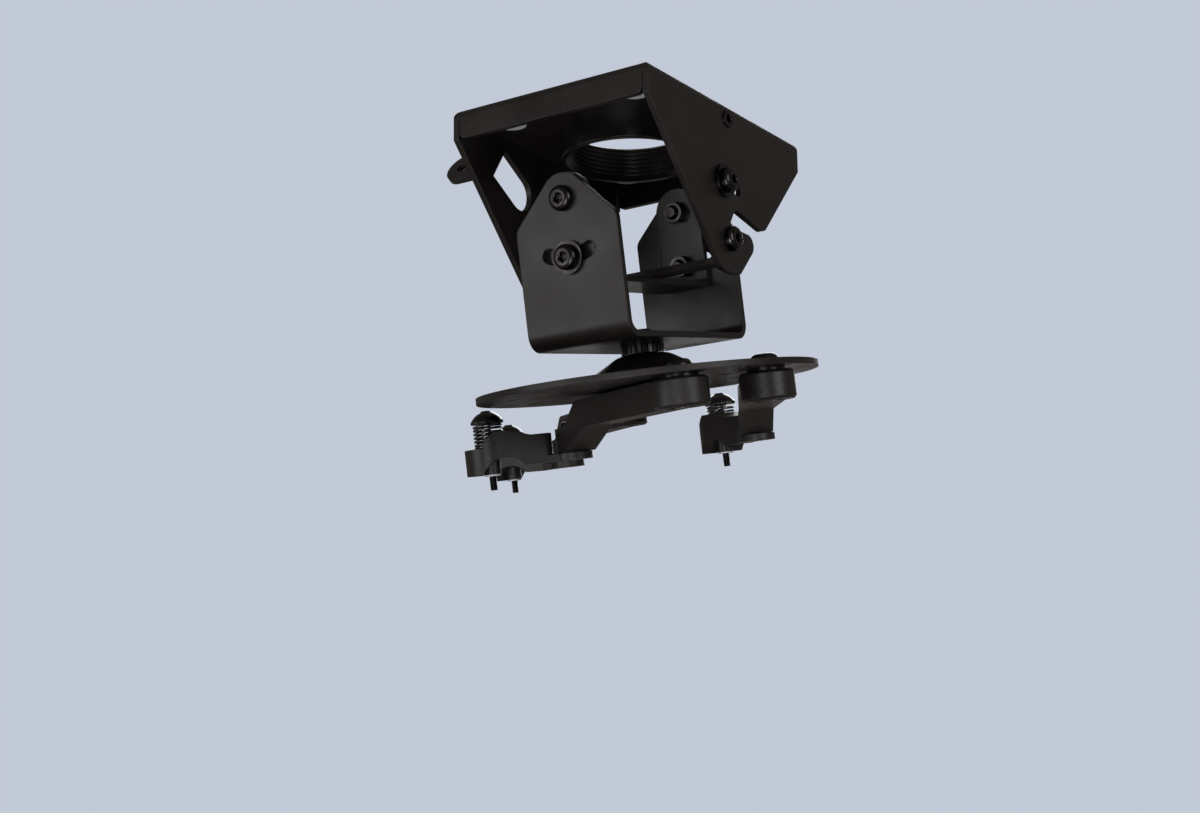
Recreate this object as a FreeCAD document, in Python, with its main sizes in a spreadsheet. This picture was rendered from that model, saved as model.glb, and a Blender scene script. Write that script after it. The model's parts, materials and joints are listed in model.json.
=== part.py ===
# Projector ceiling mount: a folded ceiling bracket with a threaded pipe collar, a crossed
# cradle that pitches in it, a yoke that rolls on the cradle, and a swivelling disc whose
# three cast arms end in spring-loaded foot screws. Millimetres, +Z up, origin in the middle
# of the collar at the top face of the bracket.
import FreeCAD, Part
import math
import os
import Sketcher

os.makedirs("parts", exist_ok=True)
doc = FreeCAD.newDocument("projector_mount")
sheet = doc.addObject("Spreadsheet::Sheet", "Sizes")
V = FreeCAD.Vector

SIZES = {
    "sheet_metal": 3, "slide_gap": 0.2, "turn_gap": 0.15,
    # ceiling bracket
    "bracket_width": 110, "bracket_depth": 138, "lip_height": 15, "bend_outside": 5,
    "relief_width": 0.5, "lip_corner": 3, "tip_half_width": 8, "tip_drop": 16,
    "tip_corner": 6, "bend_corner": 4,
    "window_width": 18, "window_length": 29, "window_angle": 32, "window_front": 37,
    "window_drop": 18, "lug_length": 27, "lug_eye": 6,
    # pipe collar, its lock screw and the clinch nuts
    "thread_radius": 30.1, "collar_wall": 4, "collar_drop": 17, "collar_chamfer": 1.5,
    "lock_screw_drop": 7.5, "lock_screw_radius": 4.2, "lock_screw_gap": 0.8,
    "nut_span_x": 70, "nut_span_y": 100,
    "clinch_radius": 7.2, "clinch_drop": 3, "clinch_bore": 2.5, "clinch_flange": 1.5,
    "clinch_cap": 1,
    # tilt joints
    "pitch_drop": 66.7, "arc_radius": 27.5, "pitch_limit": 16, "roll_limit": 24,
    "pitch_at_rest": 10.5, "roll_rise": 25.6,
    "hook_lean": 60, "hook_reach": 16.4, "hook_corner": 4, "jaw_slope": 10.5, "jaw_corner": 6,
    "lobe_rise": 6.1, "lobe_corner": 5,
    # screws, washers and nuts of the tilt joints
    "screw_radius": 3, "slot_radius": 3.6, "head_radius": 6, "head_height": 4,
    "socket_span": 4, "socket_depth": 2.4, "head_crown": 0.6, "washer_radius": 8, "washer_height": 1.6,
    "hex_nut_span": 10, "hex_nut_height": 5, "thread_past_nut": 2,
    # cradle straps
    "pitch_strap_width": 16, "roll_strap_width": 25, "strap_drop": 8,
    # yoke
    "yoke_width": 56, "yoke_depth": 108, "yoke_drop": 68, "yoke_head": 12,
    "yoke_bend": 8, "yoke_crown": 11.64,
    # swivel
    "stem_radius": 5, "dome_radius": 7.5, "dome_height": 5, "ring_radius": 10.5,
    "ring_height": 4, "ring_teeth": 24, "tooth_depth": 1, "tooth_half": 0.9, "hub_top_radius": 12,
    "hub_radius": 30, "hub_height": 12.6, "hub_dome": 11.34, "hub_rim": 2, "stem_nut_span": 14,
    "stem_nut_height": 6,
    # disc
    "disc_radius": 82.5, "disc_height": 3, "pivot_circle": 65, "inner_circle": 45,
    "hole_count": 8, "inner_hole_radius": 3.3,
    # arms
    "arm_bolt_radius": 4, "arm_head_span": 13, "arm_head_height": 5, "arm_nut_height": 5,
    "spacer_radius": 9, "spacer_height": 1.4, "boss_radius": 13, "boss_height": 13.5,
    "boss_chamfer": 1.2, "arm_width": 16.5, "arm_length": 117, "arm_drop": 12, "neck_corner": 8.4,
    "step_length": 24, "end_height": 12.3, "nut_pocket_radius": 7.8, "nut_pocket_depth": 6,
    # foot links
    "link_bolt_radius": 3, "link_head_radius": 5.4, "link_length": 41.5, "link_plate": 3.5,
    "link_plate_radius": 9.5, "pillar_radius": 5.3, "pillar_reach": 15.5,
    "pillar_height": 14.7, "foot_radius": 12.7,
    "foot_height": 13, "foot_drop": 2.8, "crown_rise": 7.6, "crown_start": 2, "crown_end": 10,
    "nest_edge": 3.5, "nest_step": 2.5, "nest_radius": 8.7, "arch_radius": 12.5,
    "arch_offset": 7, "arch_depth": 5, "column_radius": 4.5,
    # foot screws and their springs
    "foot_bore": 2.2, "foot_screw_radius": 2, "foot_shank_radius": 1.7, "foot_thread": 8,
    "foot_head_radius": 8.2, "foot_head_height": 6.6, "foot_nub_radius": 2.46,
    "foot_dome_radius": 6.56, "foot_dome_rise": 4.29, "foot_rim_height": 1.65, "spring_radius": 6.9,
    "spring_wire": 0.62, "spring_turns": 6.5, "spring_height": 12.3, "clip_height": 0.8,
    "clip_gap": 0.1, "clip_rim": 2,
}


def fill_sheet():
    for row, (alias, size) in enumerate(SIZES.items(), start=1):
        sheet.set("A%d" % row, alias)
        sheet.set("B%d" % row, str(size))
        sheet.setAlias("B%d" % row, alias)
    doc.recompute()


def cell(alias):
    return float(getattr(sheet, alias))


def bound(text):
    # an expression with each alias written as a cell of the sheet
    names = sorted(SIZES, key=len, reverse=True)
    words = []
    word = ""
    for letter in str(text) + " ":
        if letter.isalnum() or letter == "_":
            word += letter
            continue
        words.append("Sizes." + word if word in names else word)
        words.append(letter)
        word = ""
    return "".join(words).strip()


def number(text):
    value = sheet.evalExpression(bound(text))
    return float(getattr(value, "Value", value))


# Sketches and features, whose sizes are expressions of the sheet

def new_body(label):
    body = doc.addObject("PartDesign::Body", label)
    body.Label = label
    return body


def new_sketch(body, name, role, lift="0", turn=0):
    sketch = body.newObject("Sketcher::SketchObject", name)
    plane = next(f for f in body.Origin.OriginFeatures if f.Role == role)
    sketch.AttachmentSupport = [(plane, "")]
    sketch.MapMode = "FlatFace"
    sketch.AttachmentOffset = FreeCAD.Placement(V(), FreeCAD.Rotation(V(1, 0, 0), turn))
    if lift != "0":
        sketch.setExpression(".AttachmentOffset.Base.z", bound(lift))
    return sketch


def measure(sketch, kind, where, text):
    # one driven size: kind is DistanceX, DistanceY or Radius
    index = sketch.addConstraint(Sketcher.Constraint(kind, *where, number(text)))
    sketch.setExpression("Constraints[%d]" % index, bound(text))


def pin_point(sketch, item, end, x, y):
    for kind, axis, text in (("DistanceX", -2, x), ("DistanceY", -1, y)):
        if text == "0":
            sketch.addConstraint(Sketcher.Constraint("PointOnObject", item, end, axis))
        else:
            measure(sketch, kind, (-1, 1, item, end), text)


def polygon(sketch, corners):
    spots = [V(number(x), number(y), 0) for x, y in corners]
    first = sketch.GeometryCount
    count = len(corners)
    for i in range(count):
        sketch.addGeometry(Part.LineSegment(spots[i], spots[(i + 1) % count]), False)
    for i in range(count):
        follower = first + (i + 1) % count
        sketch.addConstraint(Sketcher.Constraint("Coincident", first + i, 2, follower, 1))
    for i, (x, y) in enumerate(corners):
        pin_point(sketch, first + i, 1, x, y)


def circle(sketch, x, y, radius):
    spot = V(number(x), number(y), 0)
    item = sketch.addGeometry(Part.Circle(spot, V(0, 0, 1), number(radius)), False)
    pin_point(sketch, item, 3, x, y)
    measure(sketch, "Radius", (item,), radius)


def add_arc(sketch, centre, radius, start, stop):
    round_line = Part.Circle(centre, V(0, 0, 1), radius)
    return sketch.addGeometry(Part.ArcOfCircle(round_line, start, stop), False)


def join_round(sketch, pairs):
    for one, end, other, start in pairs:
        sketch.addConstraint(Sketcher.Constraint("Tangent", one, end, other, start))


def drop_outline(sketch, start, stop, small, large):
    # a small round at start and a large one at stop, on the X axis, joined by tangents
    near = V(number(start), 0, 0)
    far = V(number(stop), 0, 0)
    little = number(small)
    big = number(large)
    lean = math.acos((little - big) / (far.x - near.x))
    out = V(math.cos(lean), math.sin(lean), 0)
    low = V(out.x, -out.y, 0)
    line_low = sketch.addGeometry(Part.LineSegment(near + low * little, far + low * big), False)
    cap_far = add_arc(sketch, far, big, -lean, lean)
    line_high = sketch.addGeometry(Part.LineSegment(far + out * big, near + out * little), False)
    cap_near = add_arc(sketch, near, little, lean, 2 * math.pi - lean)
    join_round(sketch, ((line_low, 2, cap_far, 1), (cap_far, 2, line_high, 1),
                        (line_high, 2, cap_near, 1), (cap_near, 2, line_low, 1)))
    pin_point(sketch, cap_near, 3, start, "0")
    pin_point(sketch, cap_far, 3, stop, "0")
    measure(sketch, "Radius", (cap_near,), small)
    measure(sketch, "Radius", (cap_far,), large)


def arc_slot(sketch, height, middle, half_angle, radius, half_width):
    # a slot bent round the point (0, height); middle is 90 above it or -90 below it
    centre = V(0, number(height), 0)
    reach = number(radius)
    wide = number(half_width)
    half = math.radians(number(half_angle))
    low = math.radians(middle) - half
    high = math.radians(middle) + half
    first_end = centre + V(math.cos(low), math.sin(low), 0) * reach
    last_end = centre + V(math.cos(high), math.sin(high), 0) * reach
    outer = add_arc(sketch, centre, reach + wide, low, high)
    last_cap = add_arc(sketch, last_end, wide, high, high + math.pi)
    inner = add_arc(sketch, centre, reach - wide, low, high)
    first_cap = add_arc(sketch, first_end, wide, low + math.pi, low + 2 * math.pi)
    join_round(sketch, ((outer, 2, last_cap, 1), (last_cap, 2, inner, 2),
                        (inner, 1, first_cap, 1), (first_cap, 2, outer, 1)))
    pin_point(sketch, outer, 3, "0", height)
    sketch.addConstraint(Sketcher.Constraint("Coincident", inner, 3, outer, 3))
    measure(sketch, "Radius", (outer,), "%s + %s" % (radius, half_width))
    measure(sketch, "Radius", (inner,), "%s - %s" % (radius, half_width))
    swing = "%s * sin(%s)" % (radius, half_angle)
    sign = 1 if middle > 0 else -1
    for cap, side in ((first_cap, sign), (last_cap, -sign)):
        measure(sketch, "DistanceX", (-1, 1, cap, 3), "%d * %s" % (side, swing))


def feature(body, kind, name, sketch, length, side="One side", backward=False):
    made = body.newObject("PartDesign::" + kind, name)
    made.Profile = sketch
    made.SideType = side
    made.Reversed = backward
    if length is None:
        made.Type = "ThroughAll"
    else:
        made.setExpression("Length", bound(length))
    return made


def pad(body, sketch, length, side="One side", backward=False):
    return feature(body, "Pad", sketch.Name + "_pad", sketch, length, side, backward)


def pocket(body, sketch, length=None, side="One side", backward=False):
    before = solid_volume(body)
    made = feature(body, "Pocket", sketch.Name + "_cut", sketch, length, side, backward)
    if solid_volume(body) >= before:
        raise RuntimeError(sketch.Name + " cuts nothing")
    return made


def solid_volume(body):
    doc.recompute()
    return body.Shape.Volume


def soften(body, name, radius, chosen, kind="Fillet"):
    # rounds or chamfers the edges that the given test picks
    doc.recompute()
    base = body.Tip
    edges = base.Shape.Edges
    picked = ["Edge%d" % (i + 1) for i, edge in enumerate(edges) if chosen(edge)]
    made = body.newObject("PartDesign::" + kind, name)
    made.Base = (base, picked)
    made.setExpression("Radius" if kind == "Fillet" else "Size", bound(radius))
    return made


def turned(label, corners):
    # a body of revolution round Z from (radius, height) corners
    body = new_body(label)
    sketch = new_sketch(body, label + "_profile", "XZ_Plane")
    polygon(sketch, corners)
    made = body.newObject("PartDesign::Revolution", label + "_turned")
    made.Profile = sketch
    made.ReferenceAxis = (sketch, ["V_Axis"])
    made.Angle = 360
    return body


def hexagon(sketch, span):
    corner = "%s / sqrt(3)" % span
    polygon(sketch, [("%s * cos(%d)" % (corner, a), "%s * sin(%d)" % (corner, a))
                     for a in range(30, 390, 60)])


def along_x(edge):
    return is_along(edge, V(1, 0, 0))


def is_along(edge, axis):
    if not isinstance(edge.Curve, (Part.Line, Part.LineSegment)):
        return False
    return abs(abs(edge.tangentAt(edge.FirstParameter).dot(axis)) - 1) < 1e-6


parts = {}


def keep(label, item, place=FreeCAD.Placement()):
    item.Label = label
    item.Placement = place
    parts[label] = item


def keep_group(label, items):
    # identical pieces of one node, each a solid of its own
    group = doc.addObject("Part::Compound", label)
    group.Links = items
    keep(label, group)


# Frames of the tilted assemblies

def cradle_frame():
    tilt = FreeCAD.Rotation(V(1, 0, 0), cell("pitch_at_rest"))
    return FreeCAD.Placement(V(0, 0, -cell("pitch_drop")), tilt)


def yoke_frame():
    return cradle_frame() * FreeCAD.Placement(V(0, 0, cell("roll_rise")), FreeCAD.Rotation())


def looking(direction, spot):
    # turns a piece built along +Z so that it points along the direction
    return FreeCAD.Placement(V(*spot), FreeCAD.Rotation(V(0, 0, 1), V(*direction)))


# Ceiling bracket

def ceiling_bracket():
    body = new_body("ceiling_bracket")
    foot = "-(pitch_drop + tip_drop)"
    cheek = new_sketch(body, "cheek_outline", "YZ_Plane")
    polygon(cheek, [("-bracket_depth / 2", "0"), ("-bracket_depth / 2", "-lip_height"),
                    ("-tip_half_width", foot), ("tip_half_width", foot),
                    ("bracket_depth / 2", "-lip_height"), ("bracket_depth / 2", "0")])
    pad(body, cheek, "bracket_width", "Symmetric")
    inside = new_sketch(body, "bracket_inside", "XY_Plane", "-sheet_metal")
    half_x = "(bracket_width / 2 - sheet_metal)"
    half_y = "(bracket_depth / 2 - sheet_metal)"
    polygon(inside, [("-" + half_x, "-" + half_y), (half_x, "-" + half_y),
                     (half_x, half_y), ("-" + half_x, half_y)])
    pocket(body, inside)
    lower_lips(body)
    hook_slots(body)
    security_lug(body)
    holes = new_sketch(body, "bracket_top_holes", "XY_Plane")
    circle(holes, "0", "0", "thread_radius + collar_wall")
    for x in ("-nut_span_x / 2", "nut_span_x / 2"):
        for y in ("-nut_span_y / 2", "nut_span_y / 2"):
            circle(holes, x, y, "clinch_radius - clinch_flange")
    pocket(body, holes)
    screw_hole = new_sketch(body, "lock_screw_hole", "YZ_Plane")
    circle(screw_hole, "0", "-lock_screw_drop", "lock_screw_radius + turn_gap / 3")
    pocket(body, screw_hole, backward=True)
    keep("ceiling_bracket", body)


def lower_lips(body):
    # the folded lips end level, with a relief gap beside each cheek
    gap = "relief_width"
    for name, sign in (("left", "-"), ("right", "")):
        relief = new_sketch(body, name + "_relief", "XZ_Plane")
        inner = sign + "(bracket_width / 2 - sheet_metal - relief_width)"
        outer = sign + "(bracket_width / 2 - sheet_metal)"
        polygon(relief, [(inner, "-bend_outside"), (outer, "-bend_outside"),
                         (outer, "-2 * lip_height"), (inner, "-2 * lip_height")])
        pocket(body, relief, side="Symmetric")
    trim = new_sketch(body, "lip_trim", "XZ_Plane")
    half = "(bracket_width / 2 - sheet_metal)"
    polygon(trim, [("-" + half, "-lip_height"), (half, "-lip_height"),
                   (half, "-2 * lip_height"), ("-" + half, "-2 * lip_height")])
    pocket(body, trim, side="Symmetric")
    level = cell("lip_height")
    soften(body, "lip_rounding", "lip_corner", lambda e: is_along(e, V(0, 1, 0))
           and abs(e.CenterOfMass.z + level) < 1e-6 and e.Length < cell("sheet_metal") + 0.1)


def hook_slots(body):
    # the pivot screws hang in a slot that leans to the back, where its mouth opens;
    # the lock screws run in an arc
    hook = new_sketch(body, "hook_slot", "YZ_Plane")
    side = "slot_radius * sin(hook_lean)"
    rise = "slot_radius * cos(hook_lean)"
    top_y = "(hook_reach * cos(hook_lean) - %s)" % side
    top_z = "(hook_reach * sin(hook_lean) + %s - pitch_drop)" % rise
    back = "bracket_depth / 2"
    lobe = "(lobe_rise - pitch_drop)"
    polygon(hook, [("-" + side, rise + " - pitch_drop"), (top_y, top_z),
                   (back, "%s - (%s - %s) * tan(jaw_slope)" % (top_z, back, top_y)),
                   (back, lobe), ("%s + (lobe_rise + %s) / tan(hook_lean)" % (side, rise), lobe),
                   (side, "-%s - pitch_drop" % rise)])
    pocket(body, hook, side="Symmetric")
    seat = new_sketch(body, "hook_seat", "YZ_Plane")
    circle(seat, "0", "-pitch_drop", "slot_radius")
    pocket(body, seat, side="Symmetric")
    arc = new_sketch(body, "pitch_arc", "YZ_Plane")
    arc_slot(arc, "-pitch_drop", 90, "pitch_limit", "arc_radius", "slot_radius")
    pocket(body, arc, side="Symmetric")
    level = number(lobe)
    beyond = 2 * cell("tip_half_width")
    soften(body, "hook_rounding", "hook_corner", lambda e: along_x(e)
           and abs(e.CenterOfMass.z - number(top_z)) < 1e-6)
    soften(body, "jaw_rounding", "jaw_corner", lambda e: along_x(e)
           and e.CenterOfMass.y > beyond and level + 1 < e.CenterOfMass.z < 2 * level / 3)
    soften(body, "lobe_rounding", "lobe_corner", lambda e: along_x(e)
           and e.CenterOfMass.y > beyond and abs(e.CenterOfMass.z - level) < 1e-6)
    soften(body, "tip_rounding", "tip_corner", lambda e: along_x(e)
           and abs(abs(e.CenterOfMass.y) - cell("tip_half_width")) < 0.1
           and e.CenterOfMass.z < -cell("pitch_drop") - 5)
    soften(body, "bend_rounding", "bend_corner", lambda e: abs(e.CenterOfMass.z) < 1e-6
           and (along_x(e) or is_along(e, V(0, 1, 0))))


def along_window(across, down):
    # a spot of the lanced window: down its axis from the bend, and across it
    return ("(-window_front + (%s) * cos(window_angle) + (%s) * sin(window_angle))"
            % (down, across),
            "(-window_drop - (%s) * sin(window_angle) + (%s) * cos(window_angle))"
            % (down, across))


def security_lug(body):
    # an eye lanced out of the left cheek and bent square to it
    window = new_sketch(body, "lug_window", "YZ_Plane")
    half = "window_width / 2"
    reach = "(window_length - window_width / 2)"
    polygon(window, [along_window("-" + half, "0"), along_window("-" + half, reach),
                     along_window(half, reach), along_window(half, "0")])
    pocket(body, window, backward=False)
    window_end = new_sketch(body, "lug_window_end", "YZ_Plane")
    circle(window_end, *along_window("0", reach), half)
    pocket(body, window_end, backward=False)
    root = "-(bracket_width / 2 - sheet_metal)"
    tip = "-(bracket_width / 2 + lug_length - window_width / 2)"
    for name, shape in (("lug_plate", "plate"), ("lug_end", "round"), ("lug_hole", "eye")):
        sketch = new_sketch(body, name, "XZ_Plane", "window_front", -cell("window_angle"))
        sketch.setExpression(".AttachmentOffset.Base.y", bound("-window_drop"))
        if shape == "plate":
            polygon(sketch, [(root, "-" + half), (root, half), (tip, half), (tip, "-" + half)])
            pad(body, sketch, "sheet_metal")
        elif shape == "round":
            circle(sketch, tip, "0", half)
            pad(body, sketch, "sheet_metal")
        else:
            circle(sketch, tip, "0", "lug_eye / 2")
            pocket(body, sketch, side="Symmetric")


def pipe_collar():
    inner = "thread_radius"
    outer = "(thread_radius + collar_wall)"
    body = turned("pipe_collar", [(inner, "0"), (outer, "0"), (outer, "-collar_drop"),
                                  (inner + " + collar_chamfer", "-collar_drop"),
                                  (inner, "collar_chamfer - collar_drop")])
    hole = new_sketch(body, "collar_screw_hole", "YZ_Plane")
    circle(hole, "0", "-lock_screw_drop", "lock_screw_radius + turn_gap")
    pocket(body, hole, backward=True)
    keep("pipe_collar", body)


def clinch_nuts():
    # blind nuts pressed into the top plate from below
    shank = "(clinch_radius - clinch_flange - turn_gap)"
    under = "-(sheet_metal + clinch_drop)"
    nuts = []
    for i, (x, y) in enumerate(((-1, -1), (1, -1), (1, 1), (-1, 1))):
        nut = turned("clinch_nut_%d" % (i + 1), [
            ("0", under), ("clinch_radius", under), ("clinch_radius", "-sheet_metal"),
            (shank, "-sheet_metal"), (shank, "0"), ("clinch_bore", "0"),
            ("clinch_bore", under + " + clinch_cap"), ("0", under + " + clinch_cap")])
        nut.Placement.Base = V(x * cell("nut_span_x") / 2, y * cell("nut_span_y") / 2, 0)
        nuts.append(nut)
    keep_group("clinch_nuts", nuts)


# Fasteners, built along +Z with the seat of the head at 0

def drive_socket(body, span, top, depth):
    sketch = new_sketch(body, body.Name + "_socket", "XY_Plane", top)
    hexagon(sketch, span)
    pocket(body, sketch, depth)


def cap_screw(label, radius, length, head_radius, head_height):
    screw = turned(label, [("0", head_height), (head_radius, head_height), (head_radius, "0"),
                           (radius, "0"), (radius, "-(%s)" % length), ("0", "-(%s)" % length)])
    top = number(head_height)
    soften(screw, label + "_crown", "%s * head_crown" % head_height,
           lambda e: abs(e.BoundBox.ZMin - top) < 1e-6 and abs(e.BoundBox.ZMax - top) < 1e-6)
    drive_socket(screw, "socket_span", head_height, "socket_depth")
    return screw


def washer(label, inner, outer, height):
    return turned(label, [(inner, "0"), (outer, "0"), (outer, height), (inner, height)])


def hex_nut(label, span, height, bore):
    nut = new_body(label)
    sketch = new_sketch(nut, label + "_outline", "XY_Plane")
    hexagon(sketch, span)
    circle(sketch, "0", "0", bore)
    pad(nut, sketch, height)
    return nut


def tilt_fasteners(name, axis, half_span, height, locked):
    # the pair of screws at both ends of one tilt axis, or its pair of lock screws
    screws, washers, nuts = [], [], []
    seat = "slide_gap + washer_height" if locked else "slide_gap"
    grip = seat + " + 2 * sheet_metal + slide_gap"
    length = grip + " + hex_nut_height + thread_past_nut"
    for side in (-1, 1):
        way = tuple(side * a for a in axis)
        tag = "_%s" % ("a" if side < 0 else "b")
        face = number(half_span)

        def spot(distance):
            place = looking(way, [w * distance for w in way])
            place.Base.z += number(height)
            return cradle_frame() * place
        screw = cap_screw(name + "_screw" + tag, "screw_radius", length, "head_radius",
                          "head_height")
        screw.Placement = spot(face + number(seat))
        screws.append(screw)
        nut = hex_nut(name + "_nut" + tag, "hex_nut_span", "hex_nut_height",
                      "screw_radius + turn_gap / 3")
        nut.Placement = spot(face - number("2 * sheet_metal + slide_gap + hex_nut_height"))
        nuts.append(nut)
        if locked:
            ring = washer(name + "_washer" + tag, "screw_radius + turn_gap", "washer_radius",
                          "washer_height")
            ring.Placement = spot(face + cell("slide_gap"))
            washers.append(ring)
    keep_group(name + "_screws", screws)
    keep_group(name + "_nuts", nuts)
    if locked:
        keep_group(name + "_washers", washers)


def lock_screw():
    length = "(bracket_width / 2 - thread_radius)"
    body = turned("pipe_lock_screw", [("0", "0"), ("lock_screw_radius", "0"),
                                      ("lock_screw_radius", length), ("0", length)])
    drive_socket(body, "lock_screw_radius", length, "socket_depth")
    keep("pipe_lock_screw", body, looking((1, 0, 0), (number("thread_radius + lock_screw_gap"), 0,
                                                      -cell("lock_screw_drop"))))


# Cradle: two crossed straps, the pitch one above the roll one

def strap(label, role, half, width, top, bottom, bend):
    # a folded U in the given plane, with its floor between bottom and bottom + sheet
    body = new_body(label)
    profile = new_sketch(body, label + "_profile", role)
    inner = "(%s - sheet_metal)" % half
    polygon(profile, [("-" + half, top), ("-" + half, bottom), (half, bottom), (half, top),
                      (inner, top), (inner, bottom + " + sheet_metal"),
                      ("-" + inner, bottom + " + sheet_metal"), ("-" + inner, top)])
    pad(body, profile, width, "Symmetric")
    axis = V(0, 1, 0) if role == "XZ_Plane" else V(1, 0, 0)
    low = number(bottom)
    metal = cell("sheet_metal")
    soften(body, label + "_bend", bend, lambda e: is_along(e, axis)
           and abs(e.CenterOfMass.z - low) < 1e-6)
    soften(body, label + "_inner_bend", bend + " - sheet_metal", lambda e: is_along(e, axis)
           and abs(e.CenterOfMass.z - low - metal) < 1e-6)
    return body


def pitch_strap():
    half = "(bracket_width / 2 - sheet_metal - slide_gap)"
    body = strap("pitch_strap", "XZ_Plane", half, "pitch_strap_width",
                 "arc_radius + pitch_strap_width / 2", "-(strap_drop + sheet_metal)",
                 "bend_outside")
    round_tops(body, "pitch_strap", V(1, 0, 0), "pitch_strap_width / 2 - slide_gap")
    for name, z in (("pitch_pivot_hole", "0"), ("pitch_lock_hole", "arc_radius")):
        hole = new_sketch(body, name, "YZ_Plane")
        circle(hole, "0", z, "screw_radius + turn_gap")
        pocket(body, hole, side="Symmetric")
    keep("pitch_strap", body, cradle_frame())


def roll_strap():
    half = "(yoke_depth / 2 - sheet_metal - slide_gap)"
    body = strap("roll_strap", "YZ_Plane", half, "roll_strap_width",
                 "roll_rise + roll_strap_width / 2", "-(strap_drop + 2 * sheet_metal)",
                 "bend_outside")
    round_tops(body, "roll_strap", V(0, 1, 0), "roll_strap_width / 2 - slide_gap")
    for name, z in (("roll_pivot_hole", "roll_rise"),
                    ("roll_lock_hole", "roll_rise - arc_radius")):
        hole = new_sketch(body, name, "XZ_Plane")
        circle(hole, "0", z, "screw_radius + turn_gap")
        pocket(body, hole, side="Symmetric")
    keep("roll_strap", body, cradle_frame())


def round_tops(body, label, axis, radius):
    doc.recompute()
    top = body.Shape.BoundBox.ZMax
    soften(body, label + "_tops", radius, lambda e: is_along(e, axis)
           and abs(e.CenterOfMass.z - top) < 1e-6 and e.Length < cell("sheet_metal") + 0.1)


def yoke():
    body = strap("yoke", "YZ_Plane", "(yoke_depth / 2)", "yoke_width", "yoke_head",
                 "-yoke_drop", "yoke_bend")
    corner = "(yoke_head * (sqrt(2) - 1))"
    shoulder = "(yoke_head * sqrt(2) - yoke_width / 2)"
    for name, sign in (("left_shoulder", "-"), ("right_shoulder", "")):
        cut = new_sketch(body, name, "XZ_Plane")
        polygon(cut, [(sign + corner, "yoke_head"), (sign + "yoke_width / 2", "yoke_head"),
                      (sign + "yoke_width / 2", shoulder)])
        pocket(body, cut, side="Symmetric")
    soften(body, "yoke_crown", "yoke_crown", lambda e: is_along(e, V(0, 1, 0))
           and abs(e.CenterOfMass.z - cell("yoke_head")) < 1e-6)
    level = number(shoulder)
    soften(body, "yoke_shoulders", "yoke_head / 2", lambda e: is_along(e, V(0, 1, 0))
           and abs(e.CenterOfMass.z - level) < 1e-6)
    pivot = new_sketch(body, "yoke_pivot_hole", "XZ_Plane")
    circle(pivot, "0", "0", "screw_radius + turn_gap")
    pocket(body, pivot, side="Symmetric")
    arc = new_sketch(body, "roll_arc", "XZ_Plane")
    arc_slot(arc, "0", -90, "roll_limit", "arc_radius", "slot_radius")
    pocket(body, arc, side="Symmetric")
    stem = new_sketch(body, "stem_hole", "XY_Plane")
    circle(stem, "0", "0", "stem_radius + turn_gap")
    pocket(body, stem)
    keep("yoke", body, yoke_frame())


# Swivel and disc, in the frame of the yoke

def swivel_bolt():
    seat = "(sheet_metal - yoke_drop)"
    end = "-(yoke_drop + ring_height + hub_height + disc_height + stem_nut_height" \
          " + slide_gap + thread_past_nut)"
    body = turned("swivel_bolt", [
        ("0", seat + " + dome_height"), ("dome_radius / 2", seat + " + dome_height"),
        ("dome_radius", seat + " + dome_height / 2"), ("dome_radius", seat),
        ("stem_radius", seat), ("stem_radius", end), ("0", end)])
    soften(body, "dome_rounding", "dome_height / 2.6", lambda e: e.BoundBox.ZMin > number(seat)
           + 0.1 and len(e.Vertexes) == 1)
    keep("swivel_bolt", body, yoke_frame())
    nut = hex_nut("swivel_nut", "stem_nut_span", "stem_nut_height", "stem_radius + turn_gap / 3")
    drop = number("yoke_drop + ring_height + hub_height + disc_height + slide_gap"
                  " + stem_nut_height")
    keep("swivel_nut", nut, yoke_frame() * FreeCAD.Placement(V(0, 0, -drop), FreeCAD.Rotation()))


def serrated_ring():
    body = washer("serrated_ring", "stem_radius + turn_gap", "ring_radius", "ring_height")
    notch = new_sketch(body, "ring_notch", "XY_Plane")
    half = "tooth_half"
    polygon(notch, [("ring_radius - tooth_depth", "0"), ("ring_radius + tooth_depth", half),
                    ("ring_radius + tooth_depth", "-" + half)])
    cut = pocket(body, notch, side="Symmetric")
    teeth = body.newObject("PartDesign::PolarPattern", "ring_teeth_pattern")
    teeth.Originals = [cut]
    teeth.Axis = (notch, ["N_Axis"])
    teeth.Angle = 360
    teeth.setExpression("Occurrences", bound("ring_teeth"))
    body.Tip = teeth
    drop = number("yoke_drop + ring_height")
    keep("serrated_ring", body,
         yoke_frame() * FreeCAD.Placement(V(0, 0, -drop), FreeCAD.Rotation()))


def disc_top():
    # frame of the disc: its top face, on the swivel axis
    drop = number("yoke_drop + ring_height + slide_gap + hub_height")
    return yoke_frame() * FreeCAD.Placement(V(0, 0, -drop), FreeCAD.Rotation())


def swivel_hub():
    bore = "stem_radius + turn_gap"
    body = turned("swivel_hub", [(bore, "0"), ("hub_radius", "0"), ("hub_radius", "hub_rim"),
                                 ("hub_top_radius", "hub_height"), (bore, "hub_height")])
    soften(body, "hub_dome", "hub_dome", lambda e: len(e.Vertexes) == 1
           and e.BoundBox.XMax > cell("hub_top_radius") - 0.1
           and e.BoundBox.ZMin > cell("hub_rim") + 0.1)
    soften(body, "hub_shoulder", "hub_rim", lambda e: len(e.Vertexes) == 1
           and e.BoundBox.XMax > cell("hub_radius") - 0.1
           and e.BoundBox.ZMin > cell("hub_rim") - 0.1)
    keep("swivel_hub", body, disc_top())


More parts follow.
